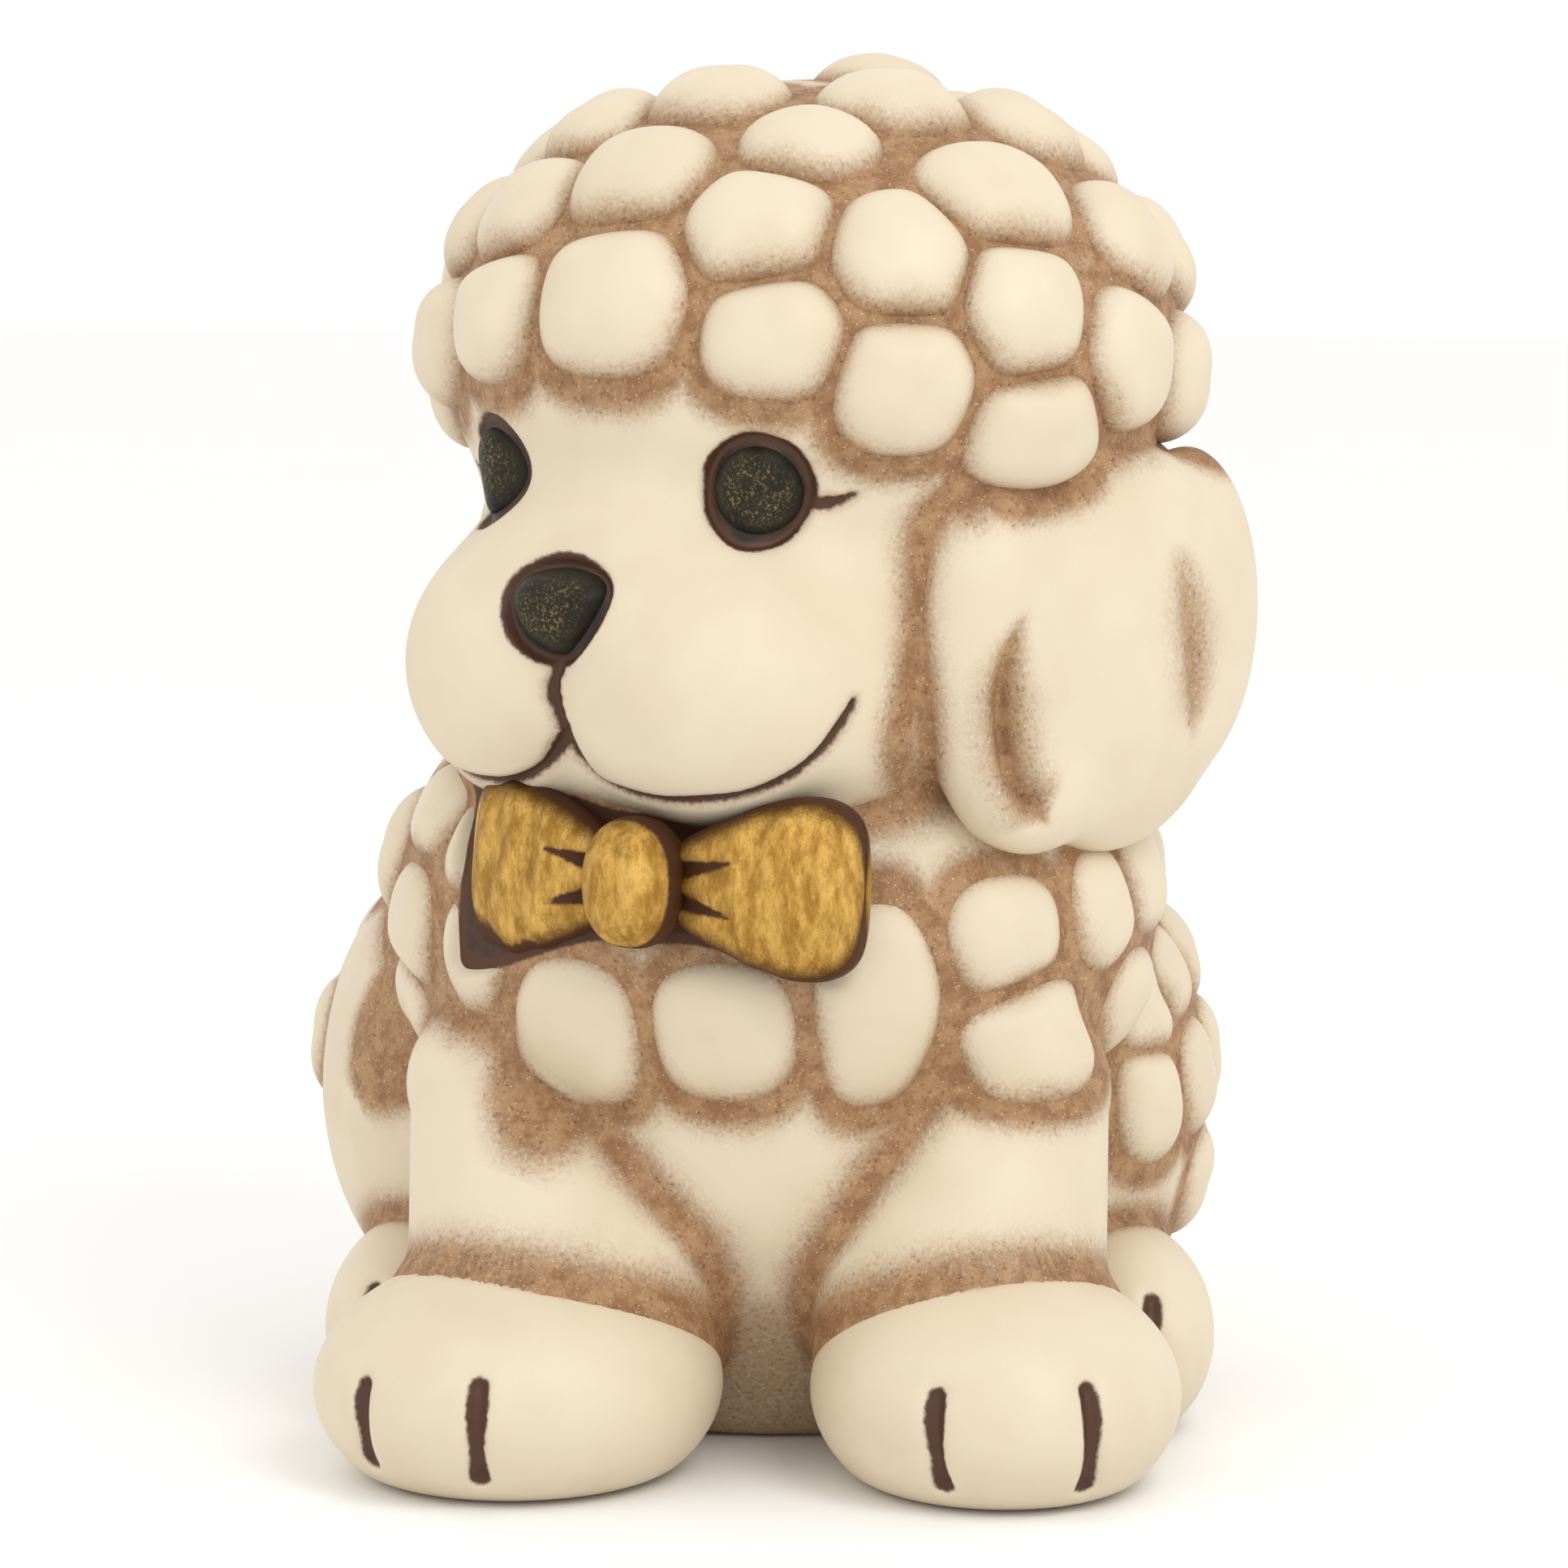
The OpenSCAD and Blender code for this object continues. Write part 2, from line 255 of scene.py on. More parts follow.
nosePlace = cadCentre("nose")
headTurn = math.degrees(math.atan2(nosePlace[0], -nosePlace[1]))
toHead = turnZ(headTurn)                # head axes to figure axes: p = q @ toHead.T
print("head turned", round(headTurn, 1), "degrees")


def inHead(p):                          # figure points in the head's own axes
    return p @ toHead


def fromHead(q):
    return q @ toHead.T


headShape = {
    "cranium": ((0, 5, 79), (27.4, 26.4, 19.8)),
    "face": ((0, 2, 67), (22.6, 21.0, 19.5)),
    "cheek": ((7.0, -15, 57.6), (11.6, 12.0, 10.9)),
    "bridge": ((0, -12.5, 65.5), (9.5, 10.5, 7.5)),
    "chin": ((0, -13.5, 51.5), (9.5, 8.5, 5.5)),
    "jowl": ((10, -5, 55), (11, 13, 9)),
    "faceBlend": 5.0,
    "cheekBlend": 1.6,
}


def headField():
    s = headShape
    face = softJoin([egg(*s["face"]), egg(*s["bridge"]), egg(*s["jowl"]), mirrored(egg(*s["jowl"]))],
                    s["faceBlend"])
    cheeks = softJoin([egg(*s["cheek"]), mirrored(egg(*s["cheek"]))], s["cheekBlend"])
    muzzle = softJoin([face, cheeks], s["faceBlend"])
    skull = softJoin([muzzle, egg(*s["cranium"])], 2.5)
    return softJoin([skull, egg(*s["chin"])], 1.4)


headOwn = headField()                   # in the head's own axes
headSkin = lambda p: headOwn(inHead(p))

earShape = {
    "main": ((24.4, 7.6, 59.0), (6.4, 11.6, 15.2), 14),
    "front": ((22.6, -4.0, 59.5), (4.4, 5.6, 12.6), 26),
    "back": ((25.6, 16.2, 61.0), (4.8, 6.0, 11.6), 6),
    "top": ((21.0, 2.4, 68.6), (4.6, 10.5, 6.0), 10),
    "tip": ((23.8, -0.8, 48.2), (3.4, 4.6, 3.6), 20),
    "blend": 2.4,
    "rightBack": (0.8, 3.0, -0.5),      # the far ear lies a little further back
}


def earField():
    s = earShape
    lobes = [egg(s[k][0], s[k][1], turnZ(-s[k][2])) for k in ("main", "front", "back", "top", "tip")]
    return softJoin(lobes, s["blend"])


earOwn = earField()
earLeftSkin = lambda p: earOwn(inHead(p))
earRightSkin = lambda p: mirrored(earOwn)(inHead(p) - vec(*earShape["rightBack"]))

bodyShape = {
    "mane": ((0, 3.5, 38), (28.2, 25.2, 21.6)),
    "trunk": ((0, 8, 21), (25, 23, 29)),
    "belly": ((0, -7, 24), (14, 12, 17)),
    "forelegLeft": ((18.0, -9, 26.5), (14.7, -13.4, 12), 7.4, 10.8),
    "forelegRight": ((-19.4, -9, 26.5), (-14.3, -13.4, 12), 6.6, 11.7),
    "forepawLeft": ((17.5, -19.2, 6.5), (13.2, 15.0, 9.3)),
    "forepawRight": ((-16.9, -18.9, 6.5), (14.6, 15.2, 9.3)),
    "forepawSplay": 16,
    "haunchLeft": ((20.6, 12, 23), (11.4, 17, 18)),
    "haunchRight": ((-22.2, 12, 23), (12.6, 17, 18)),
    "hindPaw": ((26, -0.5, 7), (6.8, 11.5, 8)),
    "tail": ((0, 31, 8), (6.5, 6.5, 10)),
}


def onFloor(field, soften=1.2):         # flat underneath with a rounded rim
    def distance(p):
        below = -p[:, 2]
        form = field(p)
        h = np.clip(0.5 + 0.5 * (form - below) / soften, 0, 1)
        return below + (form - below) * h + soften * h * (1 - h)
    return distance


b = bodyShape
trunkSkin = softJoin([egg(*b["trunk"]), egg(*b["mane"])], 3)
torsoSkin = softJoin([trunkSkin, egg(*b["belly"])], 4)
legLeft = rollOfClay(*b["forelegLeft"])
legRight = rollOfClay(*b["forelegRight"])
pawLeft = onFloor(egg(*b["forepawLeft"], turnZ(b["forepawSplay"])))
pawRight = onFloor(egg(*b["forepawRight"], turnZ(-b["forepawSplay"] - 8)))
haunchLeft = egg(*b["haunchLeft"])
haunchRight = egg(*b["haunchRight"])
hindLeft = onFloor(egg(*b["hindPaw"], turnZ(8)))
hindRight = mirrored(hindLeft)
tailSkin = onFloor(egg(*b["tail"]))

forms = {                               # every form that another one can lean on
    "torso": onFloor(torsoSkin), "head": headSkin, "earLeft": earLeftSkin, "earRight": earRightSkin,
    "forelegLeft": legLeft, "forelegRight": legRight, "forepawLeft": pawLeft, "forepawRight": pawRight,
    "haunchLeft": haunchLeft, "haunchRight": haunchRight, "hindPawLeft": hindLeft, "hindPawRight": hindRight,
    "tail": tailSkin,
}

# the curls: pillows of clay laid side by side, each shaped by its neighbours

curlShape = {
    "grow": 1.46,          # how far a free curl spreads past its CAD size
    "gap": -0.7,           # width of the groove between two curls
    "corner": 9.0,         # higher makes the corners sharper
    "headHeight": 2.1,
    "bodyHeight": 1.35,
    "least": 2.0,          # a smaller scrap than this is left out
    "sunk": 0.5,           # how deep the rim goes under the skin
    "steps": 72,
    "rings": 22,
}
curlAngles = np.linspace(0, 2 * math.pi, curlShape["steps"], endpoint=False)


def surveyCurls(node, skin, height):    # where each curl lies on its skin and how big it is
    found = []
    for cloud in cadCurls(node):
        centre = (cloud.min(0) + cloud.max(0)) / 2
        onSkin = dropOnto(skin, centre[None, :], 8)
        out = unitRows(slopeOf(skin, onSkin))[0]
        side = unitRows(np.cross(vec(0, 0, 1), out)[None, :])[0]
        up = np.cross(out, side)
        x, y = cloud @ side, cloud @ up
        middle = onSkin[0]
        middle = middle + side * ((x.min() + x.max()) / 2 - middle @ side)
        middle = middle + up * ((y.min() + y.max()) / 2 - middle @ up)
        middle = dropOnto(skin, middle[None, :], 4)[0]
        half = vec(x.max() - x.min(), y.max() - y.min()) / 2
        if half.min() > curlShape["least"]:
            found.append({"node": node, "centre": middle, "out": out, "side": side, "up": up, "half": half,
                          "height": height, "skin": skin})
    return found


def addCurl(node, skin, place, half, height):   # a curl that lies partly over a leg
    middle = dropOnto(skin, vec(*place)[None, :], 8)
    out = unitRows(slopeOf(skin, middle))[0]
    side = unitRows(np.cross(vec(0, 0, 1), out)[None, :])[0]
    return {"node": node, "centre": middle[0], "out": out, "side": side, "up": np.cross(out, side),
            "half": vec(*half), "height": height, "skin": skin}


def reachOf(curl, direction):           # half size of the free curl along a direction on the skin
    x, y = direction @ curl["side"], direction @ curl["up"]
    size = math.hypot(x, y) or 1e-9
    a, b_ = curl["half"] * curlShape["grow"]
    return 1 / math.hypot(x / size / a, y / size / b_)


def outlineCurls(curls):                # round polygons: each side lies halfway to a neighbour
    power = curlShape["corner"]
    for k, curl in enumerate(curls):
        a, b_ = curl["half"] * curlShape["grow"]
        total = (np.abs(np.cos(curlAngles) / a) ** 2.4 + np.abs(np.sin(curlAngles) / b_) ** 2.4) ** (power / 2.4)
        for j, other in enumerate(curls):
            apart = other["centre"] - curl["centre"]
            if j == k or np.linalg.norm(apart) > 22 or curl["out"] @ other["out"] < 0.1:
                continue
            x, y = apart @ curl["side"], apart @ curl["up"]
            flat = math.hypot(x, y)
            length = np.linalg.norm(apart)
            mine, theirs = reachOf(curl, apart), reachOf(other, apart)
            edge = length * mine / (mine + theirs) - curlShape["gap"] / 2
            facing = np.cos(curlAngles - math.atan2(y, x))
            side = np.where(facing > 0.15, edge / np.maximum(facing, 0.15), 1e3)
            if flat > 0.5:
                total += side ** -power
        curl["outline"] = total ** (-1 / power)
    return curls


def curlEdge(curl, p):                  # signed distance from points to a curl's outline, along the skin
    q = p - curl["centre"]
    x, y = q @ curl["side"], q @ curl["up"]
    angle = np.mod(np.arctan2(y, x), 2 * math.pi)
    return np.hypot(x, y) - np.interp(angle, curlAngles, curl["outline"], period=2 * math.pi)


def edgeOfCurls(p, curls, far=6.0):
    best = np.full(len(p), far)
    for curl in curls:
        near = np.nonzero(((p - curl["centre"]) ** 2).sum(1) < 15 ** 2)[0]
        near = near[np.abs((p[near] - curl["centre"]) @ curl["out"]) < 7]
        best[near] = np.minimum(best[near], curlEdge(curl, p[near]))
    return best


bowShape = {
    "turn": -24.0, "lean": 3.0, "sweep": 15.0,
    "inner": 2.4, "outer": 16.2, "innerHalf": 3.7, "outerHalf": 7.1, "innerThick": 2.5, "outerThick": 3.3,
    "knotHalf": (3.6, 3.6, 4.7),
    "out": -0.4,
    "pleatReach": 5.5,
    "rim": 0.32,                        # width of the dark line round the edge
}
bowMiddle = cadCentre("bow_knot")
toBow = turnZ(bowShape["turn"]) @ turnX(-bowShape["lean"])
bowMiddle = bowMiddle + toBow @ vec(0, -bowShape["out"], 0)


def bowField(p):                        # rough distance to the bow, for the paint around it
    q = (p - bowMiddle) @ toBow
    s = bowShape
    u = np.clip(np.abs(q[:, 0]), 0, s["outer"])
    t = rise(u, s["inner"], s["outer"])
    half = s["innerHalf"] + (s["outerHalf"] - s["innerHalf"]) * t
    back = math.tan(math.radians(s["sweep"])) * u
    d = np.stack([np.maximum(np.abs(q[:, 0]) - s["outer"] * 0.985, 0),
                  np.maximum(np.abs(q[:, 1] - back) - 2.6, 0),
                  np.maximum(np.abs(q[:, 2]) - half, 0)], 1)
    return np.linalg.norm(d, axis=1)


def curlMesh(curl, seed):
    steps, rings = curlShape["steps"], curlShape["rings"]
    rng = np.random.default_rng(seed)
    s = np.sin(np.linspace(0, 1, rings + 1)[1:] * math.pi / 2) ** 0.9
    s, t = np.meshgrid(s, curlAngles, indexing="ij")
    s, t = s.ravel(), t.ravel()
    reach = np.tile(curl["outline"], rings)
    flat = curl["centre"] + (s * reach * np.cos(t))[:, None] * curl["side"] \
        + (s * reach * np.sin(t))[:, None] * curl["up"]
    flat = np.vstack([curl["centre"][None, :], flat])
    s = np.concatenate([[0], s])
    reach = np.concatenate([[reach.mean()], reach])
    lie = dropOnto(curl["skin"], flat, 4)
    out = unitRows(slopeOf(curl["skin"], lie))
    size = min(curl["outline"].mean() / 5.0, 1.15)
    swell = (1 - s ** 2.9) ** 0.9
    wobble = 0.10 * np.cos(2 * np.concatenate([[0], t]) + rng.uniform(0, 6)) * s * (1 - s) * 4
    free = rise(bowField(lie), 0.1, 1.5) if curl["node"] in maneNodes else 1     # room for the bow
    rim = curlShape["sunk"]
    top = lie + out * ((curl["height"] * size + rim) * swell * free - rim * (2 - free) + wobble)[:, None]
    bottom = curl["centre"] - curl["out"] * (curlShape["sunk"] + 1.2)
    points = np.vstack([top, bottom[None, :]])
    faces = []
    for k in range(steps):
        n = (k + 1) % steps
        faces.append((0, 1 + k, 1 + n))
        for r in range(rings - 1):
            a, c = 1 + r * steps, 1 + (r + 1) * steps
            faces.append((a + k, c + k, c + n))
            faces.append((a + k, c + n, a + n))
        last = 1 + (rings - 1) * steps
        faces.append((last + k, len(points) - 1, last + n))
    inward = (1 - s) * reach
    low = np.concatenate([[0], np.sin(t)])             # the brown reaches further in from the lower edge
    keep = 0.55 + 0.5 * rise(-low, -0.3, 1)
    washAndPaintedShade = np.exp(-(inward / (1.35 * keep)) ** 1.25)
    return points, np.array(faces), np.concatenate([washAndPaintedShade, [1]])


headNodes = ["brow_curls", "side_curls", "crown_curls", "back_curls", "nape_curls"]
maneNodes = ["chest_curls", "shoulder_curls_left", "shoulder_curls_right", "withers_curls"]
maneSkin = softJoin([torsoSkin, legLeft, legRight], 2.5)
chestExtras = [((19.6, -13.6, 30.8), (4.3, 3.6))]
haunchSkinLeft = softJoin([haunchLeft, trunkSkin], 2)
haunchSkinRight = softJoin([haunchRight, trunkSkin], 2)

headCurls = outlineCurls([c for n in headNodes for c in surveyCurls(n, headSkin, curlShape["headHeight"])])
maneCurls = outlineCurls([c for n in maneNodes for c in surveyCurls(n, maneSkin, curlShape["bodyHeight"])]
                         + surveyCurls("rump_curls", trunkSkin, curlShape["bodyHeight"])
                         + [addCurl("chest_curls", maneSkin, *c, curlShape["bodyHeight"]) for c in chestExtras])
haunchCurls = outlineCurls(surveyCurls("haunch_curls_left", haunchSkinLeft, curlShape["bodyHeight"])
                           + surveyCurls("haunch_curls_right", haunchSkinRight, curlShape["bodyHeight"]))
tailCurls = outlineCurls(surveyCurls("tail_curls", tailSkin, 1.2))
bodyCurls = maneCurls + haunchCurls + tailCurls
allCurls = headCurls + bodyCurls
print("curls surveyed:", len(headCurls), "on the head,", len(bodyCurls), "on the body")


# paint: cream clay body, brown wash left in the grooves, dark lines drawn in

def link(tree, a, out, b_, into):
    tree.links.new(a.outputs[out], b_.inputs[into])


def mathNode(tree, kind, a, c=None, clamp=False):
    n = tree.nodes.new("ShaderNodeMath")
    n.operation = kind
    n.use_clamp = clamp
    for k, v in enumerate((a, c)):
        if v is None:
            continue
        if isinstance(v, (int, float)):
            n.inputs[k].default_value = v
        else:
            tree.links.new(v, n.inputs[k])
    return n.outputs[0]


def noiseNode(tree, size, detail=4.0, rough=0.6):   # size in units of the figure
    place = tree.nodes.new("ShaderNodeTexCoord")
    n = tree.nodes.new("ShaderNodeTexNoise")
    n.inputs["Scale"].default_value = 1 / (size * unit)
    n.inputs["Detail"].default_value = detail
    n.inputs["Roughness"].default_value = rough
    link(tree, place, "Object", n, "Vector")
    return n.outputs["Fac"]


def rangeNode(tree, value, low, high, toLow=0.0, toHigh=1.0, smooth=True):
    n = tree.nodes.new("ShaderNodeMapRange")
    n.interpolation_type = "SMOOTHSTEP" if smooth else "LINEAR"
    n.inputs["From Min"].default_value = low
    n.inputs["From Max"].default_value = high
    n.inputs["To Min"].default_value = toLow
    n.inputs["To Max"].default_value = toHigh
    tree.links.new(value, n.inputs["Value"])
    return n.outputs[0]


def mixColour(tree, factor, a, c):
    n = tree.nodes.new("ShaderNodeMix")
    n.data_type = "RGBA"
    tree.links.new(factor, n.inputs["Factor"])
    for k, v in ((6, a), (7, c)):
        if isinstance(v, tuple):
            n.inputs[k].default_value = (*v, 1)
        else:
            tree.links.new(v, n.inputs[k])
    return n.outputs[2]


def marked(tree, key):
    n = tree.nodes.new("ShaderNodeAttribute")
    n.attribute_name = key
    return n.outputs["Fac"]


def newFinish(name):
    m = bpy.data.materials.new(name)
    m.use_nodes = True
    tree = m.node_tree
    return m, tree, tree.nodes["Principled BSDF"]


paint = {
    "cream": (0.715, 0.618, 0.458),
    "creamWarm": (0.67, 0.566, 0.41),
    "brown": (0.27, 0.135, 0.057),
    "brownLight": (0.40, 0.235, 0.118),
    "brownStreak": (0.50, 0.335, 0.19),
    "brownDeep": (0.14, 0.060, 0.021),
    "line": (0.075, 0.028, 0.011),
    "ink": (0.016, 0.011, 0.008),
    "gold": (0.36, 0.185, 0.032),
    "goldLight": (0.72, 0.44, 0.115),
    "goldDark": (0.105, 0.045, 0.012),
    "black": (0.013, 0.011, 0.008),
}


def addLines(tree, colour):             # engraved lines: brown rim, dark middle
    grain = noiseNode(tree, 0.5, 3)
    edge = mathNode(tree, "ADD", marked(tree, "line"), mathNode(tree, "MULTIPLY", mathNode(tree, "SUBTRACT", grain, 0.5), 0.35))
    colour = mixColour(tree, rangeNode(tree, edge, 0.28, -0.02), colour, paint["line"])
    return mixColour(tree, rangeNode(tree, edge, -0.62, -0.95), colour, paint["ink"])


def creamClay():
    m, tree, skin = newFinish("creamClay")
    broad = noiseNode(tree, 9, 2)
    clay = mixColour(tree, rangeNode(tree, broad, 0.3, 0.75), paint["cream"], paint["creamWarm"])
    washAndPaintedShade = marked(tree, "washAndPaintedShade")
    grain = noiseNode(tree, 0.34, 5, 0.75)
    cloud = noiseNode(tree, 1.7, 4, 0.65)
    loose = mathNode(tree, "MULTIPLY", washAndPaintedShade, mathNode(tree, "SUBTRACT", 1.0, washAndPaintedShade))
    shake = mathNode(tree, "ADD", mathNode(tree, "MULTIPLY", mathNode(tree, "SUBTRACT", grain, 0.5), 3.4),
                     mathNode(tree, "MULTIPLY", mathNode(tree, "SUBTRACT", cloud, 0.5), 2.0))
    amount = mathNode(tree, "ADD", washAndPaintedShade, mathNode(tree, "MULTIPLY", loose, shake), clamp=True)
    brown = mixColour(tree, rangeNode(tree, cloud, 0.36, 0.64), paint["brown"], paint["brownLight"])
    brown = mixColour(tree, rangeNode(tree, grain, 0.55, 0.68), brown, paint["brownDeep"])
    brown = mixColour(tree, rangeNode(tree, grain, 0.42, 0.32), brown, paint["brownStreak"])
    colour = mixColour(tree, rangeNode(tree, amount, 0.05, 0.95), clay, brown)
    specks = tree.nodes.new("ShaderNodeTexVoronoi")
    place = tree.nodes.new("ShaderNodeTexCoord")
    specks.inputs["Scale"].default_value = 1 / (0.42 * unit)
    link(tree, place, "Object", specks, "Vector")
    glint = mathNode(tree, "MULTIPLY", rangeNode(tree, specks.outputs["Distance"], 0.16, 0.08), amount, clamp=True)
    colour = mixColour(tree, mathNode(tree, "MULTIPLY", glint, 0.55), colour, (0.93, 0.84, 0.68))
    dust = noiseNode(tree, 0.8, 2, 0.9)            # stray dark specks on the bare clay
    colour = mixColour(tree, rangeNode(tree, dust, 0.80, 0.83, 0, 0.35), colour, paint["brownDeep"])
    colour = addLines(tree, colour)
    tree.links.new(colour, skin.inputs["Base Color"])
    rough = rangeNode(tree, amount, 0, 1, 0.50, 0.66)
    tree.links.new(rough, skin.inputs["Roughness"])
    skin.inputs["Specular IOR Level"].default_value = 0.42
    bump = tree.nodes.new("ShaderNodeBump")
    bump.inputs["Strength"].default_value = 0.16
    bump.inputs["Distance"].default_value = 0.25 * unit
    height = mathNode(tree, "ADD", mathNode(tree, "MULTIPLY", noiseNode(tree, 0.28, 3), 0.5),
                      mathNode(tree, "MULTIPLY", mathNode(tree, "MULTIPLY", grain, amount), -1.4))
    tree.links.new(height, bump.inputs["Height"])
    link(tree, bump, "Normal", skin, "Normal")
    return m


def goldPaint():
    m, tree, skin = newFinish("goldPaint")
    brushed = tree.nodes.new("ShaderNodeTexNoise")
    place = tree.nodes.new("ShaderNodeTexCoord")
    stretch = tree.nodes.new("ShaderNodeMapping")
    stretch.inputs["Scale"].default_value = (1.6, 1.6, 0.6)
    link(tree, place, "Object", stretch, "Vector")
    link(tree, stretch, "Vector", brushed, "Vector")
    brushed.inputs["Scale"].default_value = 1 / (1.9 * unit)
    brushed.inputs["Detail"].default_value = 9
    brushed.inputs["Roughness"].default_value = 0.72
    grain = noiseNode(tree, 0.16, 4, 0.85)
    colour = mixColour(tree, rangeNode(tree, brushed.outputs["Fac"], 0.36, 0.66), paint["gold"], paint["goldLight"])
    colour = mixColour(tree, rangeNode(tree, grain, 0.56, 0.70, 0, 0.6), colour, paint["goldDark"])
    colour = mixColour(tree, rangeNode(tree, grain, 0.38, 0.28, 0, 0.8), colour, (0.85, 0.62, 0.25))
    # painted shade: the mark from the bow meshes, broken up by grain, darkens the gold towards goldDark near the rims
    # and at the knot
    washAndPaintedShade = marked(tree, "washAndPaintedShade")
    grainyPaintedShade = mathNode(tree, "ADD", washAndPaintedShade, mathNode(tree, "MULTIPLY", mathNode(tree, "SUBTRACT", grain, 0.5), 0.7), clamp=True)
    colour = mixColour(tree, rangeNode(tree, grainyPaintedShade, 0.14, 0.85), colour, paint["goldDark"])
    colour = addLines(tree, colour)
    tree.links.new(colour, skin.inputs["Base Color"])
    metal = rangeNode(tree, mathNode(tree, "ADD", marked(tree, "line"), 0.0), -0.05, 0.35, 0.0, 0.85)
    tree.links.new(metal, skin.inputs["Metallic"])
    tree.links.new(rangeNode(tree, grain, 0.3, 0.8, 0.34, 0.58), skin.inputs["Roughness"])
    skin.inputs["Specular IOR Level"].default_value = 0.15
    bump = tree.nodes.new("ShaderNodeBump")
    bump.inputs["Strength"].default_value = 0.45
    bump.inputs["Distance"].default_value = 0.2 * unit
    tree.links.new(mathNode(tree, "ADD", grain, brushed.outputs["Fac"]), bump.inputs["Height"])
    link(tree, bump, "Normal", skin, "Normal")
    return m


def blackPaint():
    m, tree, skin = newFinish("blackPaint")
    flecks = noiseNode(tree, 0.26, 3, 0.8)
    cloud = noiseNode(tree, 2.4, 3)
    shown = mathNode(tree, "MULTIPLY", rangeNode(tree, flecks, 0.52, 0.64), rangeNode(tree, cloud, 0.35, 0.7, 0.25, 1.0))
    shown = mathNode(tree, "MULTIPLY", shown, marked(tree, "fleck"))
    colour = mixColour(tree, rangeNode(tree, cloud, 0.3, 0.7), paint["black"], (0.028, 0.023, 0.014))
    colour = mixColour(tree, mathNode(tree, "MULTIPLY", shown, 0.75), colour, (0.36, 0.27, 0.10))
    tree.links.new(colour, skin.inputs["Base Color"])
    tree.links.new(mathNode(tree, "MULTIPLY", shown, 0.7), skin.inputs["Metallic"])
    tree.links.new(rangeNode(tree, cloud, 0.3, 0.7, 0.42, 0.55), skin.inputs["Roughness"])
    skin.inputs["Specular IOR Level"].default_value = 0.16
    bump = tree.nodes.new("ShaderNodeBump")
    bump.inputs["Strength"].default_value = 0.2
    bump.inputs["Distance"].default_value = 0.12 * unit
    tree.links.new(flecks, bump.inputs["Height"])
    link(tree, bump, "Normal", skin, "Normal")
    return m


clay = creamClay()
gold = goldPaint()
black = blackPaint()
print("finishes mixed")


# curls as pieces

def buildCurls(name, node, curls, seed):
    points, faces, washAndPaintedShade, count = [], [], [], 0
    for k, curl in enumerate(c for c in curls if c["node"] == node):
        p, f, w = curlMesh(curl, seed * 100 + k)
        points.append(p)
        faces.append(f + count)
        washAndPaintedShade.append(w)
        count += len(p)
    points, faces, washAndPaintedShade = np.vstack(points), np.vstack(faces), np.concatenate(washAndPaintedShade)
    return makePiece(name, points, faces, {"washAndPaintedShade": washAndPaintedShade, "line": np.full(len(points), 3.0)}, clay, [node])


curlPieces = ["brow", "side", "crown", "back", "nape", "chest", "shoulder_left", "shoulder_right", "withers",
              "haunch_left", "haunch_right", "rump", "tail"]
for number, word in enumerate(curlPieces):
    parts = word.split("_")
    node = parts[0] + "_curls" + ("_" + parts[1] if len(parts) > 1 else "")
    buildCurls(parts[0] + "Curls" + (parts[1].title() if len(parts) > 1 else ""), node, allCurls, number)
print("curls laid")


# bow tie

def power(x, e):
    return np.sign(x) * np.abs(x) ** e


